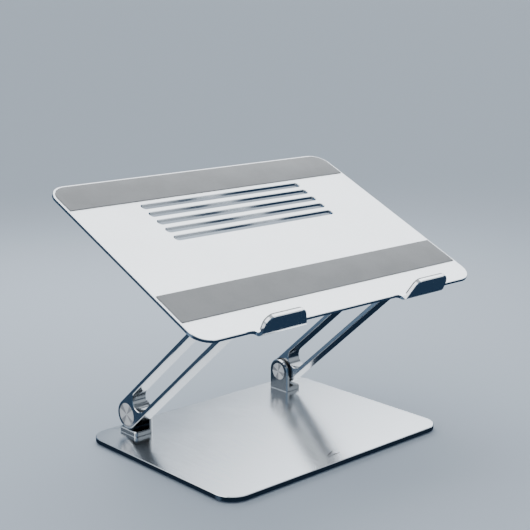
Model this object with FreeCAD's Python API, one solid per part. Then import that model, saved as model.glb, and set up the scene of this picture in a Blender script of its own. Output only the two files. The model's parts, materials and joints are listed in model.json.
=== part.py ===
"""Folding laptop stand: base plate, two slotted arms on friction hinges, tilting platform.

Millimetres. +X is to the right, +Y to the back, +Z up. Each hinge's axis is along X.
Pieces are modelled about the middle of the base plate, on the surface that the stand
rests on. The finished stand is then moved along Y, so that its origin is on that surface
under the middle of its overall depth.
"""
import FreeCAD, Part
import math
import os

from FreeCAD import Placement, Rotation, Vector

# ---------------------------------------------------------------- driving dimensions

# Base plate and its feet
BASE_WIDTH = 223.0
BASE_DEPTH = 167.4
BASE_THICKNESS = 4.0
BASE_CORNER_RADIUS = 16.0
BASE_EDGE_CHAMFER = 0.4
FOOT_RADIUS = 8.0
FOOT_THICKNESS = 2.0
FOOT_RECESS = 0.8
FOOT_CENTRE_INSET = 17.0
FOOT_EDGE_CHAMFER = 0.4

# Pictogram let into the base, near its front edge
PICTOGRAM_HEIGHT = 6.4
PICTOGRAM_LINE = 0.9
PICTOGRAM_DEPTH = 0.2
PICTOGRAM_SETBACK = 14.0

# Platform plate
PLATFORM_WIDTH = 280.0
PLATFORM_DEPTH = 190.7
PLATFORM_THICKNESS = 2.7
PLATFORM_CORNER_RADIUS = 14.5
PLATFORM_EDGE_CHAMFER = 0.3
PLATFORM_TILT = 24.2

# Ventilation slots across the platform
VENT_COUNT = 5
VENT_LENGTH = 161.0
VENT_WIDTH = 6.0
VENT_PITCH = 10.6
VENT_STRIP_GAP = 4.3
VENT_EDGE_CHAMFER = 0.4

# Silicone grip strips let into the platform
STRIP_SIDE_INSET = 1.6
STRIP_THICKNESS = 1.2
STRIP_RECESS = 0.6
FRONT_STRIP_SETBACK = 22.0
FRONT_STRIP_DEPTH = 30.4
REAR_STRIP_DEPTH = 30.2

# Hooks that keep the laptop on the platform
HOOK_CENTRE = 72.0
HOOK_WIDTH = 42.0
HOOK_HEIGHT = 15.0
HOOK_REACH = 7.0
HOOK_CORNER_RADIUS = 7.5
HOOK_ROOT_RADIUS = 2.5
HOOK_BEND_RADIUS = 3.0
HOOK_INNER_LEAN = 24.0
HOOK_EDGE_CHAMFER = 0.5
LINER_THICKNESS = 1.2
LINER_MARGIN = 0.15

# Arms
ARM_LENGTH = 147.8
ARM_ANGLE = 41.5
ARM_WIDTH = 22.3
ARM_THICKNESS = 13.1
ARM_BAR_WIDTH = 3.2
ARM_SLOT_HUB_WALL = 3.9
ARM_EDGE_CHAMFER = 0.4

# Hinge brackets: an L with its foot on a plate and its lug inside the arm
LUG_SIDE_INSET = 39.7
LUG_THICKNESS = 2.9
LUG_RADIUS = 10.6
BRACKET_FOOT_THICKNESS = 3.9
BRACKET_FOOT_INSET = 0.7
BRACKET_CORNER_RADIUS = 2.4
BRACKET_EDGE_CHAMFER = 0.7
BRACKET_SOLE_CHAMFER = 0.4
LUG_RIM_CHAMFER = 0.9
ARM_FOOT_CLEARANCE = 1.15
LOWER_HINGE_SETBACK = 20.1
UPPER_HINGE_SETBACK = 36.2

# Hinge insides
AXLE_RADIUS = 4.0
AXLE_HEAD_LEDGE = 0.5
AXLE_HEAD_THICKNESS = 1.2
WASHER_RIM = 0.15
WASHER_THICKNESS = 0.95
BUSH_WALL = 1.2
SPRING_POCKET_GAP = 0.7
SPRING_SHEET = 0.6
SPRING_CONE = 0.3
SPRING_COUNT = 2
NUT_POCKET_GAP = 0.9
NUT_THICKNESS = 3.2
AXLE_END_PROUD = 0.2
AXLE_END_CLEARANCE = 0.3
OUTER_CAP_RIM = 2.2
OUTER_CAP_LEDGE = 0.7
OUTER_CAP_THICKNESS = 0.9
OUTER_CAP_SINK = 0.1
OUTER_CAP_SPIGOT = 0.7
OUTER_CAP_SPIGOT_WALL = 0.6
INNER_CAP_LEDGE = 1.04
INNER_CAP_THICKNESS = 0.6
INNER_CAP_RECESS = 0.4
CAP_GROOVE = 0.12
CAP_EDGE_CHAMFER = 0.2

# Countersunk bracket screws
SCREW_RADIUS = 1.5
SCREW_HEAD_RADIUS = 2.9
SCREW_HEAD_HEIGHT = 1.5
SCREW_SPREAD = 11.0
SCREW_END_COVER = 0.7
SCREW_HEAD_SINK = 0.1
SCREW_SOCKET_FLATS = 1.9
SCREW_SOCKET_DEPTH = 1.0

# Clearances
RUNNING_CLEARANCE = 0.05
OPEN_PIVOT_CLEARANCE = 0.30
FACE_CLEARANCE = 0.05
SCREW_CLEARANCE = 0.10
SEAT_CLEARANCE = 0.02

# A chamfer that is all of a cut's depth is made this much smaller, so that a face is left
CHAMFER_SHARE = 0.98

# ---------------------------------------------------------------- derived places

BASE_BOTTOM = FOOT_THICKNESS - FOOT_RECESS
BASE_TOP = BASE_BOTTOM + BASE_THICKNESS
HINGE_HEIGHT = BRACKET_FOOT_THICKNESS + ARM_FOOT_CLEARANCE + ARM_WIDTH / 2

# Along a hinge's axis, outwards from the stand's middle
LUG_INNER_FACE = BASE_WIDTH / 2 - LUG_SIDE_INSET
AXLE_HEAD_FACE = LUG_INNER_FACE + INNER_CAP_RECESS
AXLE_HEAD_END = AXLE_HEAD_FACE + AXLE_HEAD_THICKNESS
LUG_OUTER_FACE = LUG_INNER_FACE + LUG_THICKNESS
ARM_INNER_FACE = LUG_OUTER_FACE + WASHER_THICKNESS + FACE_CLEARANCE
ARM_OUTER_FACE = ARM_INNER_FACE + ARM_THICKNESS
BRACKET_FOOT_END = ARM_OUTER_FACE - BRACKET_FOOT_INSET
CAP_SEAT_FACE = ARM_OUTER_FACE - OUTER_CAP_SINK - OUTER_CAP_THICKNESS
AXLE_END = CAP_SEAT_FACE - OUTER_CAP_SPIGOT - AXLE_END_CLEARANCE
NUT_FACE = AXLE_END - AXLE_END_PROUD - NUT_THICKNESS
SPRING_FACE = NUT_FACE - SPRING_COUNT * (SPRING_SHEET + SPRING_CONE)
POCKET_FLOOR = SPRING_FACE - FACE_CLEARANCE

# Across a hinge's axis
AXLE_NECK_SQUARE = 2 * AXLE_RADIUS
AXLE_HEAD_RADIUS = AXLE_NECK_SQUARE / math.sqrt(2) + AXLE_HEAD_LEDGE
INNER_CAP_RADIUS = AXLE_HEAD_RADIUS + INNER_CAP_LEDGE
WASHER_RADIUS = ARM_WIDTH / 2 - WASHER_RIM
BUSH_RADIUS = AXLE_RADIUS + OPEN_PIVOT_CLEARANCE + BUSH_WALL
OUTER_CAP_RADIUS = ARM_WIDTH / 2 - OUTER_CAP_RIM
HUB_POCKET_RADIUS = OUTER_CAP_RADIUS - OUTER_CAP_LEDGE
SPRING_RADIUS = HUB_POCKET_RADIUS - SPRING_POCKET_GAP
NUT_CORNER_RADIUS = HUB_POCKET_RADIUS - NUT_POCKET_GAP
ARM_SLOT_RADIUS = ARM_WIDTH / 2 - ARM_BAR_WIDTH
ARM_SLOT_SETBACK = OUTER_CAP_RADIUS + CAP_GROOVE + ARM_SLOT_HUB_WALL + ARM_SLOT_RADIUS

# Across the platform, back from its front edge
REAR_STRIP_BACK = PLATFORM_DEPTH - STRIP_SIDE_INSET
REAR_STRIP_FRONT = REAR_STRIP_BACK - REAR_STRIP_DEPTH
LAST_VENT_CENTRE = REAR_STRIP_FRONT - VENT_STRIP_GAP - VENT_WIDTH / 2

LOWER_PIVOT = Vector(0, BASE_DEPTH / 2 - LOWER_HINGE_SETBACK, BASE_TOP + HINGE_HEIGHT)

X_AXIS = Vector(1, 0, 0)


def turned(vector, degrees):
    """A vector turned about X; positive carries +Y towards +Z."""
    return Rotation(X_AXIS, degrees).multVec(vector)


UPPER_PIVOT = LOWER_PIVOT + turned(Vector(0, -ARM_LENGTH, 0), -ARM_ANGLE)
PIVOT_ON_PLATFORM = Vector(0, UPPER_HINGE_SETBACK, -PLATFORM_THICKNESS - HINGE_HEIGHT)
PLATFORM_ORIGIN = UPPER_PIVOT - turned(PIVOT_ON_PLATFORM, PLATFORM_TILT)

ARM_PLACE = Placement(LOWER_PIVOT, Rotation(X_AXIS, -ARM_ANGLE))
PLATFORM_PLACE = Placement(PLATFORM_ORIGIN, Rotation(X_AXIS, PLATFORM_TILT))
HINGE_PLACES = {
    "lower": Placement(LOWER_PIVOT, Rotation()),
    "upper": Placement(UPPER_PIVOT, Rotation(X_AXIS, 180 + PLATFORM_TILT)),
}

# The stand's ends along Y: a hook's upper rim, and the base or the platform's rear edge
HOOK_RIM = Vector(0, -HOOK_REACH, HOOK_HEIGHT - HOOK_EDGE_CHAMFER)
REAR_RIM = Vector(0, PLATFORM_DEPTH, PLATFORM_EDGE_CHAMFER - PLATFORM_THICKNESS)
FRONT_END = PLATFORM_PLACE.multVec(HOOK_RIM).y
BACK_END = max(BASE_DEPTH / 2, PLATFORM_PLACE.multVec(REAR_RIM).y)
TO_ORIGIN = Vector(0, -(FRONT_END + BACK_END) / 2, 0)


# ---------------------------------------------------------------- shape helpers

def placed(shape, placement):
    """A copy of a shape in its working place."""
    result = shape.copy()
    result.transformShape(placement.toMatrix(), True)
    return result


def mirrored(shape):
    """The same piece for the left side."""
    return shape.mirror(Vector(0, 0, 0), X_AXIS)


def box(low, high):
    """An axis-aligned block from its two corners."""
    size = Vector(*high) - Vector(*low)
    return Part.makeBox(size.x, size.y, size.z, Vector(*low))


def disc(radius, start, end):
    """A cylinder about the X axis, between two places along it."""
    return Part.makeCylinder(radius, end - start, Vector(start, 0, 0), X_AXIS)


def hexagon(corner, start, end):
    """A six-sided bar about the X axis, from its corners' radius."""
    angles = [math.radians(60 * step) for step in range(7)]
    points = [Vector(start, corner * math.cos(a), corner * math.sin(a)) for a in angles]
    return Part.Face(Part.makePolygon(points)).extrude(Vector(end - start, 0, 0))


def edges_on(shape, test):
    """The edges whose every vertex and middle pass a test of a point."""
    found = []
    for edge in shape.Edges:
        middle = edge.valueAt((edge.FirstParameter + edge.LastParameter) / 2)
        points = [vertex.Point for vertex in edge.Vertexes] + [middle]
        if all(test(point) for point in points):
            found.append(edge)
    return found


def near(value, target):
    """Whether two lengths are the same, within a modelling tolerance."""
    return abs(value - target) < 1e-4


def rounded_plate(low, high, radius):
    """A flat plate with round corners in plan."""
    plate = box(low, high)
    upright = edges_on(plate, lambda p: near(p.x, low[0]) or near(p.x, high[0]))
    upright = [edge for edge in upright if near(edge.Length, high[2] - low[2])]
    return plate.makeFillet(radius, upright)


def round_ended(half_length, half_width, low_z, high_z):
    """An upright bar with semicircular ends, along X, about the origin."""
    straight = half_length - half_width
    middle = box((-straight, -half_width, low_z), (straight, half_width, high_z))
    ends = [
        Part.makeCylinder(half_width, high_z - low_z, Vector(side * straight, 0, low_z))
        for side in (-1, 1)
    ]
    return middle.fuse(ends).removeSplitter()


# ---------------------------------------------------------------- base

def foot_centres():
    """Where the four feet sit, by the corner that each one is under."""
    x = BASE_WIDTH / 2 - FOOT_CENTRE_INSET
    y = BASE_DEPTH / 2 - FOOT_CENTRE_INSET
    return {
        "front_left": Vector(-x, -y, 0),
        "front_right": Vector(x, -y, 0),
        "rear_left": Vector(-x, y, 0),
        "rear_right": Vector(x, y, 0),
    }


def foot(centre):
    """One round rubber foot, its lower rim chamfered."""
    shape = Part.makeCylinder(FOOT_RADIUS, FOOT_THICKNESS, centre)
    rim = edges_on(shape, lambda p: near(p.z, 0))
    return shape.makeChamfer(FOOT_EDGE_CHAMFER, rim)


def foot_recess(centre):
    """The shallow round recess that a foot is glued into."""
    return Part.makeCylinder(FOOT_RADIUS + SEAT_CLEARANCE, FOOT_THICKNESS, centre)


def bar_between(start, end, width, low_z, high_z):
    """A flat round-ended line between two points in plan."""
    along = end - start
    line = round_ended((along.Length + width) / 2, width / 2, low_z, high_z)
    turn = Rotation(Vector(0, 0, 1), math.degrees(math.atan2(along.y, along.x)))
    return placed(line, Placement((start + end) / 2, turn))


def pictogram():
    """A plain sign of a stand: a foot line, a sloping arm and a sloping rest."""
    size = PICTOGRAM_HEIGHT - PICTOGRAM_LINE
    front = -BASE_DEPTH / 2 + PICTOGRAM_SETBACK - size / 2
    low_left = Vector(-size, front, 0)
    low_right = Vector(size, front, 0)
    elbow = Vector(-size * 0.35, front + size * 0.5, 0)
    rest_low = Vector(-size * 0.9, front + size * 0.3, 0)
    rest_high = Vector(size * 0.7, front + size, 0)
    lines = [(low_left, low_right), (low_right - Vector(size / 2, 0, 0), elbow), (rest_low, rest_high)]
    low_z = BASE_TOP - PICTOGRAM_DEPTH
    bars = [bar_between(a, b, PICTOGRAM_LINE, low_z, BASE_TOP) for a, b in lines]
    return bars[0].fuse(bars[1:]).removeSplitter()


def base_plate():
    """The base, with recesses for the feet, countersunk screw holes and the sign."""
    low = (-BASE_WIDTH / 2, -BASE_DEPTH / 2, BASE_BOTTOM)
    high = (BASE_WIDTH / 2, BASE_DEPTH / 2, BASE_TOP)
    plate = rounded_plate(low, high, BASE_CORNER_RADIUS)
    rims = edges_on(plate, lambda p: near(p.z, BASE_TOP) or near(p.z, BASE_BOTTOM))
    plate = plate.makeChamfer(BASE_EDGE_CHAMFER, rims)
    cuts = [foot_recess(centre) for centre in foot_centres().values()]
    holes = placed(bracket_screw_holes(BASE_THICKNESS), HINGE_PLACES["lower"])
    cuts += [holes, mirrored(holes), pictogram()]
    return plate.cut(cuts)


# ---------------------------------------------------------------- platform

def strip(front, back, growth=0.0):
    """One grip strip in the platform's own frame, or its recess."""
    half = PLATFORM_WIDTH / 2 - STRIP_SIDE_INSET + growth
    low_z = -STRIP_RECESS
    high_z = low_z + STRIP_THICKNESS
    return box((-half, front - growth, low_z), (half, back + growth, high_z))


def front_strip(growth=0.0):
    """The strip that the laptop's front rests on."""
    return strip(FRONT_STRIP_SETBACK, FRONT_STRIP_SETBACK + FRONT_STRIP_DEPTH, growth)


def rear_strip(growth=0.0):
    """The strip along the back, its rear corners round like the plate's."""
    shape = strip(REAR_STRIP_FRONT, REAR_STRIP_BACK, growth)
    limit = REAR_STRIP_BACK + growth
    corners = edges_on(shape, lambda p: near(p.y, limit))
    corners = [edge for edge in corners if near(edge.Length, STRIP_THICKNESS)]
    return shape.makeFillet(PLATFORM_CORNER_RADIUS - STRIP_SIDE_INSET + growth, corners)


def vents():
    """The ventilation slots, cut right through, with chamfered upper edges."""
    half = VENT_LENGTH / 2
    radius = VENT_WIDTH / 2
    grown = VENT_EDGE_CHAMFER
    tools = []
    for step in range(VENT_COUNT):
        tool = round_ended(half, radius, -PLATFORM_THICKNESS - 1, 0)
        mouth = round_ended(half + grown, radius + grown, -grown, 0)
        low_rim = edges_on(mouth, lambda p: near(p.z, -grown))
        mouth = mouth.makeChamfer(grown * CHAMFER_SHARE, low_rim)
        for piece in (tool, mouth):
            piece.translate(Vector(0, LAST_VENT_CENTRE - step * VENT_PITCH, 0))
            tools.append(piece)
    return tools


def hook_section():
    """The bent sheet seen from the side, as a face in the plane X = 0."""
    inner = HOOK_BEND_RADIUS
    outer = inner + PLATFORM_THICKNESS
    face_y = -HOOK_REACH
    inside_y = face_y + PLATFORM_THICKNESS
    bend_y = inside_y + inner
    bend_z = inner
    diagonal = math.sqrt(0.5)
    low_z = -PLATFORM_THICKNESS
    root_y = bend_y + PLATFORM_THICKNESS
    points = {
        "root_low": Vector(0, root_y, low_z),
        "bend_low": Vector(0, bend_y, low_z),
        "outer_mid": Vector(0, bend_y - outer * diagonal, bend_z - outer * diagonal),
        "bend_face": Vector(0, face_y, bend_z),
        "top_face": Vector(0, face_y, HOOK_HEIGHT),
        "top_inside": Vector(0, inside_y, HOOK_HEIGHT),
        "bend_inside": Vector(0, inside_y, bend_z),
        "inner_mid": Vector(0, bend_y - inner * diagonal, bend_z - inner * diagonal),
        "bend_top": Vector(0, bend_y, 0),
        "root_top": Vector(0, root_y, 0),
    }
    line = Part.makeLine
    edges = [
        line(points["root_low"], points["bend_low"]),
        Part.Arc(points["bend_low"], points["outer_mid"], points["bend_face"]).toShape(),
        line(points["bend_face"], points["top_face"]),
        line(points["top_face"], points["top_inside"]),
        line(points["top_inside"], points["bend_inside"]),
        Part.Arc(points["bend_inside"], points["inner_mid"], points["bend_top"]).toShape(),
        line(points["bend_top"], points["root_top"]),
        line(points["root_top"], points["root_low"]),
    ]
    return Part.Face(Part.Wire(edges))


def on_arc(centre, radius, degrees):
    """A point on a circle in a plane across Y, measured from +X towards +Z."""
    angle = math.radians(degrees)
    return centre + Vector(radius * math.cos(angle), 0, radius * math.sin(angle))


def hook_side(inset, y, lean):
    """The right half of the hook's outline seen from the front, root to top.

    The side stands upright up to the plate's upper face, then leans in by so many
    degrees to a large round corner. Returns the points, with a middle point for the arc.
    """
    tilt = math.radians(lean)
    half = HOOK_WIDTH / 2
    corner = HOOK_CORNER_RADIUS - inset
    corner_z = HOOK_HEIGHT - inset - corner
    corner_x = half - corner_z * math.tan(tilt) - HOOK_CORNER_RADIUS / math.cos(tilt)
    corner_centre = Vector(corner_x, y, corner_z)
    kink = Vector(half - inset, y, -inset * math.tan(tilt / 2))
    return [
        Vector(half - inset, y, -PLATFORM_THICKNESS - 1),
        kink,
        on_arc(corner_centre, corner, lean),
        on_arc(corner_centre, corner, 45 + lean / 2),
        on_arc(corner_centre, corner, 90),
    ]


def hook_front(inset, y):
    """The right hook's outline seen from the front, as a wire at one depth.

    The side away from the stand's middle is upright, and the side towards it leans.
    """
    right = hook_side(inset, y, 0)
    leaning = hook_side(inset, y, HOOK_INNER_LEAN)
    left = [Vector(-point.x, point.y, point.z) for point in leaning]
    line = Part.makeLine
    edges = [
        line(left[0], right[0]),
        line(right[0], right[1]),
        line(right[1], right[2]),
        Part.Arc(right[2], right[3], right[4]).toShape(),
        line(right[4], left[4]),
        Part.Arc(left[4], left[3], left[2]).toShape(),
        line(left[2], left[1]),
        line(left[1], left[0]),
    ]
    return Part.Wire(edges)


def hook_web():
    """The hook's root seen from above, flared into the plate's front edge."""
    half = HOOK_WIDTH / 2
    flare = HOOK_ROOT_RADIUS
    mid = flare * (1 - math.sqrt(0.5))
    back = HOOK_BEND_RADIUS + 2 * PLATFORM_THICKNESS
    low_z = -PLATFORM_THICKNESS - 1

    def side(sign):
        return [
            Vector(sign * half, -flare, low_z),
            Vector(sign * (half + mid), -mid, low_z),
            Vector(sign * (half + flare), 0, low_z),
            Vector(sign * (half + flare), back, low_z),
        ]

    right = side(1)
    left = side(-1)
    line = Part.makeLine
    edges = [
        line(left[0], right[0]),
        Part.Arc(right[0], right[1], right[2]).toShape(),
        line(right[2], right[3]),
        line(right[3], left[3]),
        line(left[3], left[2]),
        Part.Arc(left[2], left[1], left[0]).toShape(),
    ]
    height = HOOK_HEIGHT + PLATFORM_THICKNESS + 2
    return Part.Face(Part.Wire(edges)).extrude(Vector(0, 0, height))


def hook():
    """The right bent-up hook about X = 0, with a chamfered rim on its outer face."""
    span = HOOK_WIDTH + 2 * HOOK_ROOT_RADIUS
    sheet = hook_section().extrude(Vector(span, 0, 0))
    sheet.translate(Vector(-span / 2, 0, 0))
    face_y = -HOOK_REACH
    rim_y = face_y + HOOK_EDGE_CHAMFER
    rim = Part.makeLoft([hook_front(HOOK_EDGE_CHAMFER, face_y), hook_front(0, rim_y)], True, True)
    depth = HOOK_REACH + HOOK_BEND_RADIUS + 2 * PLATFORM_THICKNESS
    wall = Part.Face(hook_front(0, rim_y)).extrude(Vector(0, depth, 0))
    upright = sheet.common(rim.fuse(wall))
    return upright.fuse(sheet.common(hook_web())).removeSplitter()


def hook_liner():
    """The thin silicone on the right hook's inner face, inside its outline."""
    inside_y = PLATFORM_THICKNESS - HOOK_REACH
    outline = Part.Face(hook_front(LINER_MARGIN, inside_y))
    sheet = outline.extrude(Vector(0, LINER_THICKNESS, 0))
    low_z = HOOK_BEND_RADIUS + LINER_MARGIN
    half = HOOK_WIDTH
    keep = box((-half, -HOOK_REACH, low_z), (half, PLATFORM_THICKNESS, HOOK_HEIGHT))
    return sheet.common(keep)


def platform_plate():
    """The tilting plate with its two hooks, in its own frame.

    The frame's origin is the middle of the front edge, on the upper face.
    """
    low = (-PLATFORM_WIDTH / 2, 0, -PLATFORM_THICKNESS)
    high = (PLATFORM_WIDTH / 2, PLATFORM_DEPTH, 0)
    plate = rounded_plate(low, high, PLATFORM_CORNER_RADIUS)
    rims = edges_on(plate, lambda p: near(p.z, 0) or near(p.z, -PLATFORM_THICKNESS))
    plate = plate.makeChamfer(PLATFORM_EDGE_CHAMFER, rims)
    right_hook = hook().translated(Vector(HOOK_CENTRE, 0, 0))
    plate = plate.fuse([right_hook, mirrored(right_hook)]).removeSplitter()
    local_hinge = PLATFORM_PLACE.inverse().multiply(HINGE_PLACES["upper"])
    holes = placed(bracket_screw_holes(PLATFORM_THICKNESS - STRIP_RECESS), local_hinge)
    cuts = vents() + [front_strip(SEAT_CLEARANCE), rear_strip(SEAT_CLEARANCE)]
    cuts += [holes, mirrored(holes)]
    return plate.cut(cuts)


# ---------------------------------------------------------------- arms

def arm():
    """The right arm, lying along -Y from its lower hinge at the origin."""
    radius = ARM_WIDTH / 2
    length = ARM_LENGTH
    thickness = ARM_THICKNESS

    def link(half_width, start, end):
        ends = [disc(half_width, 0, thickness).translated(Vector(0, y, 0)) for y in (start, end)]
        middle = box((0, end, -half_width), (thickness, start, half_width))
        return middle.fuse(ends).removeSplitter()

    body = link(radius, 0, -length)
    slot = link(radius - ARM_BAR_WIDTH, -ARM_SLOT_SETBACK, ARM_SLOT_SETBACK - length)
    body = body.cut(slot)
    rims = edges_on(body, lambda p: near(p.x, 0) or near(p.x, thickness))
    body = body.makeChamfer(ARM_EDGE_CHAMFER, rims)
    body.translate(Vector(ARM_INNER_FACE, 0, 0))
    bores = hub_bores()
    far_bores = bores.translated(Vector(0, -length, 0))
    return body.cut([bores, far_bores])


def hub_bores():
    """What is bored from each end of an arm: bush seat, pocket and cap seat."""
    seat = disc(BUSH_RADIUS, ARM_INNER_FACE - 1, POCKET_FLOOR + 1)
    pocket = disc(HUB_POCKET_RADIUS, POCKET_FLOOR, ARM_OUTER_FACE + 1)
    cap_seat = disc(OUTER_CAP_RADIUS + CAP_GROOVE, CAP_SEAT_FACE, ARM_OUTER_FACE + 1)
    return seat.fuse([pocket, cap_seat])


def bush(clearance):
    """A sleeve pressed into the arm for the axle to turn in."""
    outer = disc(BUSH_RADIUS - SEAT_CLEARANCE, ARM_INNER_FACE, POCKET_FLOOR)
    return outer.cut(disc(AXLE_RADIUS + clearance, ARM_INNER_FACE - 1, POCKET_FLOOR + 1))


def outer_cap():
    """The disc in the arm's outer face, with a spigot that grips the pocket."""
    face = CAP_SEAT_FACE + OUTER_CAP_THICKNESS
    cap = disc(OUTER_CAP_RADIUS, CAP_SEAT_FACE, face)
    cap = cap.makeChamfer(CAP_EDGE_CHAMFER, edges_on(cap, lambda p: near(p.x, face)))
    spigot_end = CAP_SEAT_FACE - OUTER_CAP_SPIGOT
    spigot = disc(HUB_POCKET_RADIUS - SEAT_CLEARANCE, spigot_end, CAP_SEAT_FACE)
    hollow = disc(HUB_POCKET_RADIUS - OUTER_CAP_SPIGOT_WALL, spigot_end, CAP_SEAT_FACE)
    return cap.fuse(spigot.cut(hollow)).removeSplitter()


# ---------------------------------------------------------------- hinge pieces
# Each is built for the right side about its own hinge axis, with the bracket's foot
# below the axis.

def bracket():
    """The L-shaped bracket: a foot on the plate and a round-topped lug."""
    floor = -HINGE_HEIGHT
    top = floor + BRACKET_FOOT_THICKNESS
    foot_low = (LUG_INNER_FACE, -LUG_RADIUS, floor)
    foot_block = box(foot_low, (BRACKET_FOOT_END, LUG_RADIUS, top))
    corners = edges_on(foot_block, lambda p: near(p.x, BRACKET_FOOT_END))
    corners = [edge for edge in corners if near(edge.Length, BRACKET_FOOT_THICKNESS)]
    foot_block = foot_block.makeFillet(BRACKET_CORNER_RADIUS, corners)
    lug = disc(LUG_RADIUS, LUG_INNER_FACE, LUG_OUTER_FACE)
    upright = box(foot_low, (LUG_OUTER_FACE, LUG_RADIUS, 0))
    body = foot_block.fuse([lug, upright]).removeSplitter()
    foot_rim = edges_on(body, lambda p: near(p.z, top))
    foot_rim = [edge for edge in foot_rim if edge.BoundBox.XMax > LUG_OUTER_FACE + 1]
    body = body.makeChamfer(BRACKET_EDGE_CHAMFER, foot_rim)
    lug_rim = edges_on(body, lambda p: near(p.x, LUG_INNER_FACE))
    lug_rim = [edge for edge in lug_rim if not near(edge.BoundBox.ZMax, floor)]
    body = body.makeChamfer(LUG_RIM_CHAMFER, lug_rim)
    sole_rim = edges_on(body, lambda p: near(p.z, floor))
    body = body.makeChamfer(BRACKET_SOLE_CHAMFER, sole_rim)
    neck = AXLE_NECK_SQUARE / 2 + SEAT_CLEARANCE
    cap_seat = disc(INNER_CAP_RADIUS + CAP_GROOVE, LUG_INNER_FACE - 1, AXLE_HEAD_FACE)
    head_seat = disc(AXLE_HEAD_RADIUS + SEAT_CLEARANCE, LUG_INNER_FACE, AXLE_HEAD_END)
    neck_hole = box((LUG_INNER_FACE, -neck, -neck), (LUG_OUTER_FACE + 1, neck, neck))
    return body.cut([cap_seat, head_seat, neck_hole, threaded_ends()])


def axle():
    """The hinge bolt: head in the lug, square neck, round shank, threaded end."""
    head = disc(AXLE_HEAD_RADIUS, AXLE_HEAD_FACE, AXLE_HEAD_END)
    half = AXLE_NECK_SQUARE / 2
    neck = box((AXLE_HEAD_END, -half, -half), (LUG_OUTER_FACE, half, half))
    shank = disc(AXLE_RADIUS, LUG_OUTER_FACE, AXLE_END)
    tip = edges_on(shank, lambda p: near(p.x, AXLE_END))
    shank = shank.makeChamfer(CAP_EDGE_CHAMFER, tip)
    return head.fuse([neck, shank]).removeSplitter()


def friction_washer():
    """The black ring between the lug and the arm."""
    ring = disc(WASHER_RADIUS, LUG_OUTER_FACE, LUG_OUTER_FACE + WASHER_THICKNESS)
    return ring.cut(disc(AXLE_RADIUS + SEAT_CLEARANCE, LUG_OUTER_FACE - 1, ARM_INNER_FACE))


def spring_washers():
    """The stack of disc springs, cones set back to back."""
    height = SPRING_SHEET + SPRING_CONE
    bore = AXLE_RADIUS + SCREW_CLEARANCE
    springs = []
    for step in range(SPRING_COUNT):
        low = SPRING_FACE + step * height
        corners = [(0, bore), (SPRING_CONE, SPRING_RADIUS), (height, SPRING_RADIUS), (SPRING_SHEET, bore)]
        if step % 2:
            corners = [(height - along, radius) for along, radius in corners]
        points = [Vector(low + along, 0, radius) for along, radius in corners]
        section = Part.Face(Part.makePolygon(points + points[:1]))
        springs.append(section.revolve(Vector(0, 0, 0), X_AXIS, 360))
    return Part.makeCompound(springs)


def lock_nut():
    """The thin hexagonal nut on the axle's end."""
    nut = hexagon(NUT_CORNER_RADIUS, NUT_FACE, NUT_FACE + NUT_THICKNESS)
    return nut.cut(disc(AXLE_RADIUS + SEAT_CLEARANCE, NUT_FACE - 1, NUT_FACE + NUT_THICKNESS + 1))


def inner_cap():
    """The disc that covers the axle's head on the lug's inner face."""
    start = AXLE_HEAD_FACE - INNER_CAP_THICKNESS
    cap = disc(INNER_CAP_RADIUS, start, AXLE_HEAD_FACE)
    rim = edges_on(cap, lambda p: near(p.x, start))
    return cap.makeChamfer(CAP_EDGE_CHAMFER, rim)


# ---------------------------------------------------------------- bracket screws

def screw_places():
    """Where the two screws of one bracket stand, on the plate's face."""
    x = (LUG_OUTER_FACE + BRACKET_FOOT_END) / 2
    half = SCREW_SPREAD / 2
    return [Vector(x, y, -HINGE_HEIGHT) for y in (-half, half)]


def screw_depth():
    """How far a screw goes into the bracket's foot."""
    return BRACKET_FOOT_THICKNESS - SCREW_END_COVER


def countersunk(radius, head_radius, head_top, tip):
    """A countersunk form along Z: a cone at the low end and a shank up to the tip."""
    cone = Part.makeCone(head_radius, radius, SCREW_HEAD_HEIGHT, Vector(0, 0, head_top))
    shank = Part.makeCylinder(radius, tip - head_top, Vector(0, 0, head_top))
    return cone.fuse(shank).removeSplitter()


def bracket_screws(plate_thickness):
    """The pair of countersunk screws through a plate into one bracket's foot."""
    head_top = SCREW_HEAD_SINK - plate_thickness
    screw = countersunk(SCREW_RADIUS, SCREW_HEAD_RADIUS, head_top, screw_depth() - SCREW_CLEARANCE)
    socket = Part.makeCylinder(
        SCREW_SOCKET_FLATS / 2, SCREW_SOCKET_DEPTH, Vector(0, 0, head_top)
    )
    screw = screw.cut(socket)
    return Part.makeCompound([screw.translated(place) for place in screw_places()])


def bracket_screw_holes(plate_thickness):
    """The clearance holes for those screws, as one shape to cut from a plate."""
    radius = SCREW_RADIUS + SCREW_CLEARANCE
    head_radius = SCREW_HEAD_RADIUS + SCREW_CLEARANCE
    head_top = SCREW_HEAD_SINK - plate_thickness
    hole = countersunk(radius, head_radius, head_top, 1)
    mouth = Part.makeCylinder(head_radius, plate_thickness, Vector(0, 0, head_top - plate_thickness))
    holes = [hole.fuse(mouth).translated(place) for place in screw_places()]
    return holes[0].fuse(holes[1:])


def threaded_ends():
    """The blind threaded holes in a bracket's foot, at the screws' own radius."""
    holes = []
    for place in screw_places():
        low = place - Vector(0, 0, 1)
        holes.append(Part.makeCylinder(SCREW_RADIUS + SEAT_CLEARANCE, screw_depth() + 1, low))
    return holes[0].fuse(holes[1:])


# ---------------------------------------------------------------- assembly

def hinge_nodes(level):
    """Every piece of one right-hand hinge, by name, about its own axis."""
    plate = BASE_THICKNESS if level == "lower" else PLATFORM_THICKNESS - STRIP_RECESS
    return {
        "bracket": bracket(),
        "bracket_screws": bracket_screws(plate),
        "axle": axle(),
        "friction_washer": friction_washer(),
        "spring_washers": spring_washers(),
        "lock_nut": lock_nut(),
        "inner_cap": inner_cap(),
    }


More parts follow.
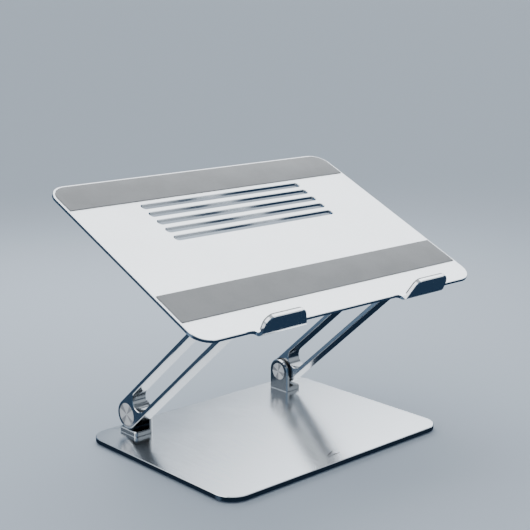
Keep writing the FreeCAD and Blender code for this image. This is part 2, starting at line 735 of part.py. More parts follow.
def main():
    """Builds every node and writes one STEP file for each."""
    nodes = {"base_plate": base_plate(), "base_pictogram": pictogram()}
    for name, centre in foot_centres().items():
        nodes[name + "_foot"] = foot(centre)

    nodes["platform_plate"] = placed(platform_plate(), PLATFORM_PLACE)
    nodes["front_grip_strip"] = placed(front_strip(), PLATFORM_PLACE)
    nodes["rear_grip_strip"] = placed(rear_strip(), PLATFORM_PLACE)

    right = {"arm": placed(arm(), ARM_PLACE)}
    liner = hook_liner().translated(Vector(HOOK_CENTRE, 0, 0))
    right["hook_liner"] = placed(liner, PLATFORM_PLACE)
    for level, place in HINGE_PLACES.items():
        for name, shape in hinge_nodes(level).items():
            right[level + "_" + name] = placed(shape, place)
        arm_end = Placement(place.Base, ARM_PLACE.Rotation)
        right[level + "_outer_cap"] = placed(outer_cap(), arm_end)
        right[level + "_bush"] = placed(bush(RUNNING_CLEARANCE), arm_end)
    for name, shape in right.items():
        nodes["right_" + name] = shape
        nodes["left_" + name] = mirrored(shape)
    nodes["right_upper_bush"] = placed(
        bush(OPEN_PIVOT_CLEARANCE), Placement(UPPER_PIVOT, ARM_PLACE.Rotation)
    )

    os.makedirs("parts", exist_ok=True)
    for name, shape in nodes.items():
        shape.translated(TO_ORIGIN).exportStep(os.path.join("parts", name + ".step"))


main()
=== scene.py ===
"""Dresses a folding aluminium laptop stand for its studio picture.

The stand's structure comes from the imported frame: base plate, two slotted arms on friction
hinges and a tilting platform with two hooks. Here every node gets its finish, and the
pieces whose look needs finer shape are built anew: grip strips, spun caps and feet.
Metres, +X to the right, +Y to the back, +Z up.
"""

from __future__ import annotations

import json
import logging
import math
from dataclasses import dataclass
from enum import Enum
from typing import Any, Callable, Iterable, Sequence

import bmesh
import bpy
from mathutils import Matrix, Vector

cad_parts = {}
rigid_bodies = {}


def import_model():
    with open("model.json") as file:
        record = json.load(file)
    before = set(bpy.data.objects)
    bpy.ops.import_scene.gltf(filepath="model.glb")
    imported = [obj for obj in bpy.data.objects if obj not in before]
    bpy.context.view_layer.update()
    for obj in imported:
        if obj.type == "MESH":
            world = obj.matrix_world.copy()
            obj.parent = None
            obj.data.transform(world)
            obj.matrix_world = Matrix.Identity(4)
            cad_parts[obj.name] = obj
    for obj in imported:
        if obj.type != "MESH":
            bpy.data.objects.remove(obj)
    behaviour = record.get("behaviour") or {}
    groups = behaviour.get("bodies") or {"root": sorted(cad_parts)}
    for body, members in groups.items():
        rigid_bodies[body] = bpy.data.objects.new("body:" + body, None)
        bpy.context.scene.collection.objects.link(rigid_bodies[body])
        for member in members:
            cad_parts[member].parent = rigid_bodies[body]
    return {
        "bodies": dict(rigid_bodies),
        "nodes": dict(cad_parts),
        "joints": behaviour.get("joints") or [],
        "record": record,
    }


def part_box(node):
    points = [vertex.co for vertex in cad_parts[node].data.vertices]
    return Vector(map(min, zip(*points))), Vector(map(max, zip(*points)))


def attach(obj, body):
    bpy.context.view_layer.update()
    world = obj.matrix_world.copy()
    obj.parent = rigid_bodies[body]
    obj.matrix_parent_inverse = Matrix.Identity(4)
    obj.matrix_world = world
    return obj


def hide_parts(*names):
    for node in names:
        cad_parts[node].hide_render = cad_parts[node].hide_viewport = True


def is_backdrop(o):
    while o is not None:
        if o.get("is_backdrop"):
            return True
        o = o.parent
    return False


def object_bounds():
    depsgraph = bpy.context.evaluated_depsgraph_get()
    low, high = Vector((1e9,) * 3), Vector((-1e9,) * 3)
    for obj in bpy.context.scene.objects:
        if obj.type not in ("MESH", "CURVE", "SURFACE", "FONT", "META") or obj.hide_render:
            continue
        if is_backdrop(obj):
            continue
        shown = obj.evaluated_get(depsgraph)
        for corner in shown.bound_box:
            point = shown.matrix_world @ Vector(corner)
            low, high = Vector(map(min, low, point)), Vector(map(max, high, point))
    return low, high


log = logging.getLogger("laptop_stand")

MM = 0.001

# How far a plate's surface leans from its face, as the cosine of the angle
WALL_LEAN = (0.15, 0.35)
CHAMFER_LEAN = (0.30, 0.45)
FACE_LEAN = (0.965, 0.995)

# Steps of a quarter round, small or large
ROUND_STEPS = 4
CORNER_STEPS = 12

# How far a bump effect stands out at full strength
GRAIN_RELIEF = 0.02 * MM
SKIN_RELIEF = 0.03 * MM
RING_RELIEF = 0.01 * MM
Color = tuple[float, float, float]
Profile = Sequence[tuple[float, float]]


class Side(Enum):
    """The stand's two sides, by the word in their nodes' names."""

    LEFT = "left"
    RIGHT = "right"

    @property
    def outward(self) -> float:
        """The sign of X on this side."""
        return -1.0 if self is Side.LEFT else 1.0


class Level(Enum):
    """The two hinges of an arm, by the word in their nodes' names."""

    LOWER = "lower"
    UPPER = "upper"

    @property
    def plate_body(self) -> str:
        """The body that this hinge's bracket is screwed to."""
        return "base" if self is Level.LOWER else "platform"


# ---------------- shader node helpers


class NodeSheet:
    """Adds and links the nodes of one shader node tree."""

    def __init__(self, tree: bpy.types.NodeTree) -> None:
        """Starts on an empty or existing tree.

        Args:
            tree: The node tree of a material, a world or a group.
        """
        self.tree = tree

    def add(self, kind: str, **settings: Any) -> bpy.types.Node:
        """Adds one node.

        Args:
            kind: The node's type name, without its ShaderNode prefix.
            settings: Properties to set on it.

        Returns:
            The new node.
        """
        node = self.tree.nodes.new("ShaderNode" + kind)
        for name, value in settings.items():
            setattr(node, name, value)
        return node

    def feed(self, socket: bpy.types.NodeSocket, value: Any) -> None:
        """Links a socket to another, or sets its own value.

        Args:
            socket: The input socket.
            value: An output socket, a number or a tuple.
        """
        if isinstance(value, bpy.types.NodeSocket):
            self.tree.links.new(value, socket)
        else:
            socket.default_value = value

    def maths(self, operation: str, *values: Any) -> bpy.types.NodeSocket:
        """One Math node.

        Args:
            operation: Blender's name of the operation.
            values: Its inputs, sockets or numbers.

        Returns:
            The result's socket.
        """
        node = self.add("Math", operation=operation)
        for socket, value in zip(node.inputs, values):
            self.feed(socket, value)
        return node.outputs[0]

    def vector(self, operation: str, *values: Any) -> bpy.types.Node:
        """One Vector Math node.

        Args:
            operation: Blender's name of the operation.
            values: Its vector inputs, sockets or tuples.

        Returns:
            The node, whose Vector or Value output the caller takes.
        """
        node = self.add("VectorMath", operation=operation)
        for socket, value in zip(node.inputs, values):
            self.feed(socket, value)
        return node

    def ramp(
        self, value: Any, low: float, high: float, start: Any = 0.0, end: Any = 1.0
    ) -> bpy.types.NodeSocket:
        """A smooth step from one value to another.

        Args:
            value: What is mapped.
            low: Where the step begins.
            high: Where the step ends.
            start: The result below low.
            end: The result above high.

        Returns:
            The result's socket.
        """
        node = self.add("MapRange", interpolation_type="SMOOTHSTEP")
        for socket, item in zip(node.inputs, (value, low, high, start, end)):
            self.feed(socket, item)
        return node.outputs[0]

    def mix(self, share: Any, first: Any, second: Any) -> bpy.types.NodeSocket:
        """A mix of two colours.

        Args:
            share: How much of the second colour there is, from 0 to 1.
            first: The first colour, a socket or an RGB tuple.
            second: The second colour.

        Returns:
            The mixed colour's socket.
        """
        node = self.add("Mix", data_type="RGBA")
        self.feed(node.inputs[0], share)
        for socket, value in ((node.inputs[6], first), (node.inputs[7], second)):
            self.feed(socket, (*value, 1.0) if isinstance(value, tuple) else value)
        return node.outputs[2]

    def noise(
        self, vector: Any, scale: Any, detail: float = 2.0, roughness: float = 0.5
    ) -> bpy.types.NodeSocket:
        """Noise from 0 to 1.

        Args:
            vector: Where it is read.
            scale: Its features per metre.
            detail: Its octaves.
            roughness: The weight of its finer octaves.

        Returns:
            The value's socket.
        """
        node = self.add("TexNoise")
        self.feed(node.inputs["Vector"], vector)
        self.feed(node.inputs["Scale"], scale)
        self.feed(node.inputs["Detail"], detail)
        self.feed(node.inputs["Roughness"], roughness)
        return node.outputs["Fac"]

    def place(self, group: bpy.types.NodeTree, **inputs: Any) -> bpy.types.Node:
        """Places a node group.

        Args:
            group: The group's tree.
            inputs: Its inputs by name, with underscores for spaces.

        Returns:
            The group node.
        """
        node = self.add("Group", node_tree=group)
        for name, value in inputs.items():
            self.feed(node.inputs[name.replace("_", " ")], value)
        return node


class EffectLibrary:
    """The effects that several finishes share, each a node group built once."""

    def __init__(self) -> None:
        """Builds every group."""
        self.cut_edges = self._group("cut_edges", self._cut_edges)
        self.metal_grain = self._group("metal_grain", self._metal_grain)
        self.handling = self._group("handling", self._handling)
        self.spun_disc = self._group("spun_disc", self._spun_disc)
        self.soft_skin = self._group("soft_skin", self._soft_skin)

    @staticmethod
    def _group(name: str, build: Callable[[bpy.types.NodeTree, NodeSheet], None]) -> bpy.types.NodeTree:
        """Makes one group.

        Args:
            name: The group's name.
            build: Fills the tree in.

        Returns:
            The finished tree.
        """
        tree = bpy.data.node_groups.new(name, "ShaderNodeTree")
        build(tree, NodeSheet(tree))
        return tree

    @staticmethod
    def _sockets(
        tree: bpy.types.NodeTree, inputs: dict[str, Any], outputs: dict[str, str]
    ) -> tuple[bpy.types.Node, bpy.types.Node]:
        """Gives a group its sockets.

        Args:
            tree: The group's tree.
            inputs: Each input's name and first value, a number or a vector.
            outputs: Each output's name and kind, Float or Vector.

        Returns:
            The group's input node and output node.
        """
        for name, value in inputs.items():
            kind = "NodeSocketVector" if isinstance(value, tuple) else "NodeSocketFloat"
            socket = tree.interface.new_socket(name=name, in_out="INPUT", socket_type=kind)
            socket.default_value = value
        for name, kind in outputs.items():
            tree.interface.new_socket(name=name, in_out="OUTPUT", socket_type="NodeSocket" + kind)
        return tree.nodes.new("NodeGroupInput"), tree.nodes.new("NodeGroupOutput")

    def _cut_edges(self, tree: bpy.types.NodeTree, sheet: NodeSheet) -> None:
        """Masks of a plate's diamond-cut chamfers and of its walls, by its own normals.

        Args:
            tree: The group's tree.
            sheet: Adds nodes to it.
        """
        given, result = self._sockets(
            tree, {"Face Normal": (0.0, 0.0, 1.0)}, {"Chamfer": "Float", "Wall": "Float"}
        )
        surface = sheet.add("TexCoord").outputs["Normal"]
        along = sheet.vector("DOT_PRODUCT", surface, given.outputs["Face Normal"]).outputs["Value"]
        tilt = sheet.maths("ABSOLUTE", along)
        above = sheet.ramp(tilt, *CHAMFER_LEAN)
        below = sheet.ramp(tilt, *FACE_LEAN, 1.0, 0.0)
        sheet.feed(result.inputs["Chamfer"], sheet.maths("MULTIPLY", above, below))
        sheet.feed(result.inputs["Wall"], sheet.ramp(tilt, *WALL_LEAN, 1.0, 0.0))

    def _metal_grain(self, tree: bpy.types.NodeTree, sheet: NodeSheet) -> None:
        """The fine texture of blasted or brushed metal, drawn out along one way.

        Args:
            tree: The group's tree.
            sheet: Adds nodes to it.
        """
        given, result = self._sockets(
            tree,
            {"Stretch": (1.0, 1.0, 1.0), "Fineness": 2600.0, "Depth": 0.05},
            {"Grain": "Float", "Normal": "Vector"},
        )
        where = sheet.add("TexCoord").outputs["Object"]
        drawn = sheet.vector("MULTIPLY", where, given.outputs["Stretch"]).outputs["Vector"]
        fine = sheet.noise(drawn, given.outputs["Fineness"], 3.0, 0.6)
        coarse_scale = sheet.maths("MULTIPLY", given.outputs["Fineness"], 0.21)
        coarse = sheet.noise(drawn, coarse_scale)
        fine = sheet.maths("MULTIPLY", fine, 0.7)
        both = sheet.maths("ADD", fine, sheet.maths("MULTIPLY", coarse, 0.3))
        bump = sheet.add("Bump")
        sheet.feed(bump.inputs["Strength"], given.outputs["Depth"])
        bump.inputs["Distance"].default_value = GRAIN_RELIEF
        sheet.feed(bump.inputs["Height"], both)
        sheet.feed(result.inputs["Grain"], both)
        sheet.feed(result.inputs["Normal"], bump.outputs["Normal"])

    def _handling(self, tree: bpy.types.NodeTree, sheet: NodeSheet) -> None:
        """Faint cloudy marks from wiping and handling.

        Args:
            tree: The group's tree.
            sheet: Adds nodes to it.
        """
        given, result = self._sockets(tree, {"Size": 30.0}, {"Marks": "Float"})
        where = sheet.add("TexCoord").outputs["Object"]
        broad = sheet.noise(where, given.outputs["Size"], 3.0, 0.55)
        small = sheet.noise(where, sheet.maths("MULTIPLY", given.outputs["Size"], 7.3))
        broad = sheet.maths("MULTIPLY", broad, 0.75)
        clouds = sheet.maths("ADD", broad, sheet.maths("MULTIPLY", small, 0.25))
        sheet.feed(result.inputs["Marks"], sheet.ramp(clouds, 0.38, 0.66))

    def _spun_disc(self, tree: bpy.types.NodeTree, sheet: NodeSheet) -> None:
        """The wedges of painted sheen and the turned rings of a disc about its own X axis.

        Args:
            tree: The group's tree.
            sheet: Adds nodes to it.
        """
        given, result = self._sockets(
            tree,
            {"Wedges": 4.0, "Turn": 0.0, "Rings": 5200.0},
            {"Painted Sheen": "Float", "Height": "Float"},
        )
        where = sheet.add("TexCoord").outputs["Object"]
        parts = sheet.add("SeparateXYZ")
        sheet.feed(parts.inputs[0], where)
        angle = sheet.maths("ARCTAN2", parts.outputs["Z"], parts.outputs["Y"])
        # Bright and dark wedges round the disc: painted sheen, standing in for reflected light.
        turned = sheet.maths("MULTIPLY", angle, given.outputs["Wedges"])
        turned = sheet.maths("ADD", turned, given.outputs["Turn"])
        wedges = sheet.maths("ADD", sheet.maths("MULTIPLY", sheet.maths("COSINE", turned), 0.5), 0.5)
        uneven = sheet.maths("COSINE", sheet.maths("ADD", sheet.maths("MULTIPLY", angle, 3.0), 0.8))
        uneven = sheet.maths("MULTIPLY", uneven, 0.14)
        sheen = sheet.maths("ADD", sheet.ramp(wedges, 0.02, 0.55), uneven)
        flat = sheet.add("CombineXYZ")
        sheet.feed(flat.inputs["Y"], parts.outputs["Y"])
        sheet.feed(flat.inputs["Z"], parts.outputs["Z"])
        radius = sheet.vector("LENGTH", flat.outputs[0]).outputs["Value"]
        rings = sheet.maths("SINE", sheet.maths("MULTIPLY", radius, given.outputs["Rings"]))
        scatter = sheet.noise(where, 900.0)
        sheet.feed(result.inputs["Painted Sheen"], sheen)
        height = sheet.maths("ADD", rings, sheet.maths("MULTIPLY", scatter, 0.6))
        sheet.feed(result.inputs["Height"], height)

    def _soft_skin(self, tree: bpy.types.NodeTree, sheet: NodeSheet) -> None:
        """The even, faintly pebbled skin of moulded silicone or rubber.

        Args:
            tree: The group's tree.
            sheet: Adds nodes to it.
        """
        given, result = self._sockets(
            tree, {"Fineness": 2200.0, "Depth": 0.25}, {"Tone": "Float", "Normal": "Vector"}
        )
        where = sheet.add("TexCoord").outputs["Object"]
        cells = sheet.add("TexVoronoi", feature="SMOOTH_F1")
        sheet.feed(cells.inputs["Vector"], where)
        sheet.feed(cells.inputs["Scale"], given.outputs["Fineness"])
        fine = sheet.noise(where, sheet.maths("MULTIPLY", given.outputs["Fineness"], 0.4), 3.0, 0.6)
        height = sheet.maths("ADD", sheet.maths("MULTIPLY", cells.outputs["Distance"], 0.6), fine)
        bump = sheet.add("Bump")
        sheet.feed(bump.inputs["Strength"], given.outputs["Depth"])
        bump.inputs["Distance"].default_value = SKIN_RELIEF
        sheet.feed(bump.inputs["Height"], height)
        sheet.feed(result.inputs["Tone"], fine)
        sheet.feed(result.inputs["Normal"], bump.outputs["Normal"])


# ---------------- finishes


def new_material(name: str) -> tuple[bpy.types.Material, NodeSheet, bpy.types.Node]:
    """Makes a material with one Principled shader.

    Args:
        name: The material's name.

    Returns:
        The material, a sheet for its nodes, and the shader.
    """
    material = bpy.data.materials.new(name)
    material.use_nodes = True
    material.node_tree.nodes.clear()
    sheet = NodeSheet(material.node_tree)
    shader = sheet.add("BsdfPrincipled")
    output = sheet.add("OutputMaterial")
    sheet.feed(output.inputs["Surface"], shader.outputs["BSDF"])
    return material, sheet, shader


@dataclass(frozen=True)
class PlateMetal:
    """Aluminium plate: a grained face, bright chamfers partly painted as a highlight, and smoother walls
    whose darker colour is painted shade.

    Attributes:
        name: The material's name.
        color: The face's colour.
        chamfer_color: The diamond-cut chamfers' colour, brighter than the face partly as a painted
            highlight.
        wall_shade_color: The walls' colour.
        roughness: The face's roughness.
        chamfer_roughness: The chamfers' roughness.
        wall_roughness: The walls' roughness.
        face_normal: The plate's normal.
        stretch: How the grain is drawn out, along X, Y and Z.
        fineness: The grain's features per metre.
        depth: The grain's bump strength.
        marks_size: The handling marks per metre.
        dark_share: How much of the colour is left in the grain's darker spots.
    """

    name: str
    color: Color
    chamfer_color: Color
    wall_shade_color: Color
    roughness: float
    chamfer_roughness: float
    wall_roughness: float
    face_normal: tuple[float, float, float] = (0.0, 0.0, 1.0)
    stretch: tuple[float, float, float] = (1.0, 1.0, 1.0)
    fineness: float = 2600.0
    depth: float = 0.05
    marks_size: float = 24.0
    dark_share: float = 0.93

    def build(self, effects: EffectLibrary) -> bpy.types.Material:
        """Makes the material.

        Args:
            effects: The shared node groups.

        Returns:
            The material.
        """
        material, sheet, shader = new_material(self.name)
        edges = sheet.place(effects.cut_edges, Face_Normal=self.face_normal)
        grain = sheet.place(
            effects.metal_grain, Stretch=self.stretch, Fineness=self.fineness, Depth=self.depth
        )
        marks = sheet.place(effects.handling, Size=self.marks_size).outputs["Marks"]
        darker = tuple(self.dark_share * part for part in self.color)
        face = sheet.mix(sheet.ramp(grain.outputs["Grain"], 0.35, 0.65), darker, self.color)
        # Walls get their own colour; where it is darker than the face it is painted shade.
        walls = sheet.mix(edges.outputs["Wall"], face, self.wall_shade_color)
        # Chamfers get a brighter colour: the diamond-cut finish, partly a painted highlight.
        color = sheet.mix(edges.outputs["Chamfer"], walls, self.chamfer_color)
        rough = sheet.maths("ADD", self.roughness - 0.015, sheet.maths("MULTIPLY", marks, 0.03))
        rough = sheet.maths("ADD", rough, sheet.maths("MULTIPLY", grain.outputs["Grain"], 0.03))
        rough = self._toward(sheet, rough, self.wall_roughness, edges.outputs["Wall"])
        rough = self._toward(sheet, rough, self.chamfer_roughness, edges.outputs["Chamfer"])
        shader.inputs["Metallic"].default_value = 1.0
        sheet.feed(shader.inputs["Base Color"], color)
        sheet.feed(shader.inputs["Roughness"], rough)
        sheet.feed(shader.inputs["Normal"], grain.outputs["Normal"])
        return material

    @staticmethod
    def _toward(sheet: NodeSheet, value: Any, goal: float, share: Any) -> bpy.types.NodeSocket:
        """Moves a value some way to a goal.

        Args:
            sheet: Adds the nodes.
            value: The value's socket.
            goal: The number that it moves to.
            share: How far, from 0 to 1.

        Returns:
            The new value's socket.
        """
        gap = sheet.maths("SUBTRACT", goal, value)
        return sheet.maths("ADD", value, sheet.maths("MULTIPLY", gap, share))


@dataclass(frozen=True)
class SpunMetal:
    """A turned disc with wedges of painted sheen.

    Attributes:
        name: The material's name.
        light: The colour of the bright wedges, painted highlights.
        dark: The colour between them.
        roughness: The mean roughness.
        turn: The angle of the wedges, in radians of their pattern.
        metallic: How mirror-like it is; the rest scatters as the fine rings do.
    """

    name: str
    light: Color
    dark: Color
    roughness: float
    turn: float
    metallic: float = 0.35

    def build(self, effects: EffectLibrary) -> bpy.types.Material:
        """Makes the material.

        Args:
            effects: The shared node groups.

        Returns:
            The material.
        """
        material, sheet, shader = new_material(self.name)
        disc = sheet.place(effects.spun_disc, Wedges=4.0, Turn=self.turn, Rings=21000.0)
        bump = sheet.add("Bump")
        bump.inputs["Strength"].default_value = 0.25
        bump.inputs["Distance"].default_value = RING_RELIEF
        sheet.feed(bump.inputs["Height"], disc.outputs["Height"])
        rough = sheet.ramp(disc.outputs["Painted Sheen"], 0.0, 1.0, self.roughness - 0.06, self.roughness + 0.06)
        shader.inputs["Metallic"].default_value = self.metallic
        # The painted highlight wedges go into the base colour.
        sheet.feed(shader.inputs["Base Color"], sheet.mix(disc.outputs["Painted Sheen"], self.dark, self.light))
        sheet.feed(shader.inputs["Roughness"], rough)
        sheet.feed(shader.inputs["Normal"], bump.outputs["Normal"])
        return material


@dataclass(frozen=True)
class TurnedMetal:
    """Plain turned or plated metal of the hinge's inner pieces.

    Attributes:
        name: The material's name.
        color: Its colour.
        tarnish: The colour of its duller patches.
        roughness: Its roughness.
    """

    name: str
    color: Color
    tarnish: Color
    roughness: float

    def build(self, effects: EffectLibrary) -> bpy.types.Material:
        """Makes the material.

        Args:
            effects: The shared node groups.

        Returns:
            The material.
        """
        material, sheet, shader = new_material(self.name)
        grain = sheet.place(effects.metal_grain, Stretch=(0.15, 1.0, 1.0), Fineness=5200.0, Depth=0.12)
        marks = sheet.place(effects.handling, Size=160.0).outputs["Marks"]
        rough = sheet.maths("ADD", self.roughness, sheet.maths("MULTIPLY", grain.outputs["Grain"], 0.08))
        shader.inputs["Metallic"].default_value = 1.0
        sheet.feed(shader.inputs["Base Color"], sheet.mix(marks, self.color, self.tarnish))
        sheet.feed(shader.inputs["Roughness"], rough)
        sheet.feed(shader.inputs["Normal"], grain.outputs["Normal"])
        return material


@dataclass(frozen=True)
class SoftSkin:
    """Moulded silicone, rubber or polymer.

    Attributes:
        name: The material's name.
        color: Its colour.
        shade: The colour of its darker patches.
        roughness: Its roughness.
        fineness: The skin's pebbles per metre.
        depth: The skin's bump strength.
        specular: The specular level of its surface.
    """

    name: str
    color: Color
    shade: Color
    roughness: float
    fineness: float = 2200.0
    depth: float = 0.25
    specular: float = 0.4

    def build(self, effects: EffectLibrary) -> bpy.types.Material:
        """Makes the material.

        Args:
            effects: The shared node groups.

        Returns:
            The material.
        """
        material, sheet, shader = new_material(self.name)
        skin = sheet.place(effects.soft_skin, Fineness=self.fineness, Depth=self.depth)
        marks = sheet.place(effects.handling, Size=45.0).outputs["Marks"]
        tone = sheet.maths("MULTIPLY", skin.outputs["Tone"], 0.6)
        tone = sheet.maths("ADD", tone, sheet.maths("MULTIPLY", marks, 0.4))
        patches = sheet.ramp(tone, 0.25, 0.75)
        rough = sheet.maths("ADD", self.roughness, sheet.maths("MULTIPLY", marks, 0.06))
        shader.inputs["Specular IOR Level"].default_value = self.specular
        sheet.feed(shader.inputs["Base Color"], sheet.mix(patches, self.color, self.shade))
        sheet.feed(shader.inputs["Roughness"], rough)
        sheet.feed(shader.inputs["Normal"], skin.outputs["Normal"])
        return material


class Finishes:
    """Every finish of the stand, built once."""

    def __init__(self, platform_normal: Vector) -> None:
        """Builds the materials.

        Args:
            platform_normal: The platform's upward normal at rest.
        """
        effects = EffectLibrary()
        # The chamfers' bright colour: the diamond-cut finish, partly a painted highlight.
        bright = (0.93, 0.94, 0.95)
        self.platform = PlateMetal(
            name="blasted_platform_aluminium",
            color=(0.85, 0.86, 0.865),
            chamfer_color=bright,
            wall_shade_color=(0.80, 0.82, 0.84),
            roughness=0.36,
            chamfer_roughness=0.12,
            wall_roughness=0.16,
            face_normal=tuple(platform_normal),
            fineness=2400.0,
            depth=0.18,
        ).build(effects)
        self.base = PlateMetal(
            name="brushed_base_aluminium",
            color=(0.76, 0.78, 0.80),
            chamfer_color=bright,
            # Dark walls: painted shade on the base plate's edges.
            wall_shade_color=(0.24, 0.25, 0.26),
            roughness=0.19,
            chamfer_roughness=0.10,
            wall_roughness=0.14,
            stretch=(1.0, 0.06, 1.0),
            fineness=3000.0,
            depth=0.16,
        ).build(effects)
        self.arm = PlateMetal(
            name="satin_arm_aluminium",
            color=(0.80, 0.81, 0.82),
            chamfer_color=bright,
            # Dark walls: painted shade on the arm's edge walls.
            wall_shade_color=(0.27, 0.285, 0.30),
            roughness=0.15,
            chamfer_roughness=0.10,
            wall_roughness=0.16,
            face_normal=(1.0, 0.0, 0.0),
            fineness=3600.0,
            depth=0.10,
        ).build(effects)
        self.bracket = PlateMetal(
            name="bracket_aluminium_painted_shade",
            # The whole bracket is dark: painted shade, not the polished aluminium's own colour.
            color=(0.26, 0.275, 0.29),
            chamfer_color=bright,
            wall_shade_color=(0.26, 0.27, 0.28),
            roughness=0.20,
            chamfer_roughness=0.08,
            wall_roughness=0.11,
            face_normal=(1.0, 0.0, 0.0),
            fineness=4200.0,
            depth=0.08,
        ).build(effects)
        # Bright wedges on both caps: painted highlights of the spun finish.
        self.outer_cap = SpunMetal(
            name="spun_outer_cap",
            light=(0.93, 0.92, 0.91),
            dark=(0.50, 0.50, 0.51),
            roughness=0.32,
            turn=0.5,
        ).build(effects)
        self.inner_cap = SpunMetal(
            name="spun_inner_cap",
            light=(0.95, 0.95, 0.95),
            dark=(0.50, 0.50, 0.51),
            roughness=0.30,
            turn=2.1,
        ).build(effects)
        self.steel = TurnedMetal(
            name="zinc_plated_steel",
            color=(0.62, 0.63, 0.65),
            tarnish=(0.48, 0.49, 0.50),
            roughness=0.26,
        ).build(effects)
        self.bronze = TurnedMetal(
            name="turned_bronze",
            color=(0.66, 0.47, 0.24),
            tarnish=(0.48, 0.33, 0.17),
            roughness=0.30,
        ).build(effects)
        self.silicone = SoftSkin(
            name="grey_silicone",
            color=(0.262, 0.272, 0.28),
            shade=(0.248, 0.258, 0.265),
            roughness=0.60,
        ).build(effects)
        self.rubber = SoftSkin(
            name="black_rubber",
            color=(0.020, 0.020, 0.021),
            shade=(0.012, 0.012, 0.013),
            roughness=0.62,
            depth=0.4,
        ).build(effects)
        self.polymer = SoftSkin(
            name="black_friction_polymer",
            color=(0.012, 0.012, 0.013),
            shade=(0.006, 0.006, 0.007),
            roughness=0.34,
            fineness=5000.0,
            depth=0.10,
        ).build(effects)
        self.inlay = SoftSkin(
            name="dark_inlay",
            color=(0.020, 0.021, 0.023),
            shade=(0.012, 0.012, 0.013),
            roughness=0.45,
            fineness=5000.0,
            depth=0.15,
        ).build(effects)


# ---------------- mesh helpers


def finish_mesh(
    name: str, mesh: bmesh.types.BMesh, material: bpy.types.Material, smooth_degrees: float = 35.0
) -> bpy.types.Object:
    """Turns a bmesh into an object in the scene.

    Args:
        name: The object's name.
        mesh: The bmesh, which is freed.
        material: Its finish.
        smooth_degrees: The sharpest angle that is shaded smooth.

    Returns:
        The object.
    """
    bmesh.ops.recalc_face_normals(mesh, faces=mesh.faces)
    data = bpy.data.meshes.new(name)
    for edge in mesh.edges:
        edge.smooth = len(edge.link_faces) == 2 and edge.calc_face_angle() < math.radians(smooth_degrees)
    for face in mesh.faces:
        face.smooth = True
    mesh.to_mesh(data)
    mesh.free()
    data.materials.append(material)
    obj = bpy.data.objects.new(name, data)
    bpy.context.scene.collection.objects.link(obj)
    return obj


def turned_solid(profile: Profile, axis: Vector, segments: int = 96) -> bmesh.types.BMesh:
    """A closed solid of revolution about its own local axis.

    Args:
        profile: Points of radius and height, from the axis out and back to it.
        axis: The way that height runs.
        segments: The number of sides.

    Returns:
        The bmesh, about the origin.
    """
    mesh = bmesh.new()
    turn = axis.to_track_quat("Z", "Y").to_matrix()
    rings = []
    for radius, height in profile:
        count = 1 if radius < 1e-9 else segments
        ring = []
        for step in range(count):
            angle = 2 * math.pi * step / segments
            point = Vector((radius * math.cos(angle), radius * math.sin(angle), height))
            ring.append(mesh.verts.new(turn @ point))
        rings.append(ring)
    for first, second in zip(rings, rings[1:]):
        for step in range(segments):
            corners = [
                first[step % len(first)],
                first[(step + 1) % len(first)],
                second[(step + 1) % len(second)],
                second[step % len(second)],
            ]
            unique = list(dict.fromkeys(corners))
            if len(unique) > 2:
                mesh.faces.new(unique)
    return mesh


def dress(nodes: dict[str, bpy.types.Object], names: Iterable[str], material: bpy.types.Material) -> None:
    """Gives carried-over nodes one finish.

    Args:
        nodes: The frame's nodes by name.
        names: Which of them.
        material: Their finish.
    """
    for name in names:
        node = nodes[name]
        node.data.materials.clear()
        node.data.materials.append(material)
        log.info("dressed %s with %s", name, material.name)


# ---------------- sub-assemblies


@dataclass
class BasePlate:
    """The base plate with its inlaid sign and its four rubber feet.

    Attributes:
        foot_ring_count: Grooves in the underside of a foot.
        foot_groove: A groove's depth.
        foot_groove_slope: How far each of its sides leans out.
        foot_rim: The plain rim outside the grooves.
        foot_edge: The round of a foot's lower edge.
    """

    foot_ring_count: int = 3
    foot_groove: float = 0.25 * MM
    foot_groove_slope: float = 0.15 * MM
    foot_rim: float = 1.6 * MM
    foot_edge: float = 0.35 * MM

    def build(self, frame: dict[str, Any], finishes: Finishes) -> None:
        """Dresses the plate and makes the feet.

        Args:
            finishes: The finishes.
        """
        dress(frame["nodes"], ["base_plate"], finishes.base)
        dress(frame["nodes"], ["base_pictogram"], finishes.inlay)
        for corner in ("front_left", "front_right", "rear_left", "rear_right"):
            self._foot(corner + "_foot", finishes)

    def _foot(self, node: str, finishes: Finishes) -> None:
        """Makes one foot, with round grooves underneath.

        Args:
            node: The CAD foot that it stands for.
            finishes: The finishes.
        """
        low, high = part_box(node)
        radius = (high.x - low.x) / 2
        thickness = high.z - low.z
        pitch = (radius - self.foot_rim) / (2 * self.foot_ring_count)
        profile = [(0.0, 0.0)]
        for ring in range(self.foot_ring_count):
            start = pitch * (2 * ring + 1)
            profile += [
                (start, 0.0),
                (start + self.foot_groove_slope, self.foot_groove),
                (start + pitch - self.foot_groove_slope, self.foot_groove),
                (start + pitch, 0.0),
            ]
        for step in range(ROUND_STEPS + 1):
            angle = math.pi / 2 * step / ROUND_STEPS
            along = self.foot_edge * math.sin(angle)
            rise = self.foot_edge * (1 - math.cos(angle))
            profile.append((radius - self.foot_edge + along, rise))
        profile += [(radius, thickness), (0.0, thickness)]
        mesh = turned_solid(profile, Vector((0, 0, 1)))
        foot = finish_mesh(node + "_ribbed", mesh, finishes.rubber)
        foot.location = ((low.x + high.x) / 2, (low.y + high.y) / 2, low.z)
        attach(foot, "base")
        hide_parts(node)
        log.info("built %s", foot.name)


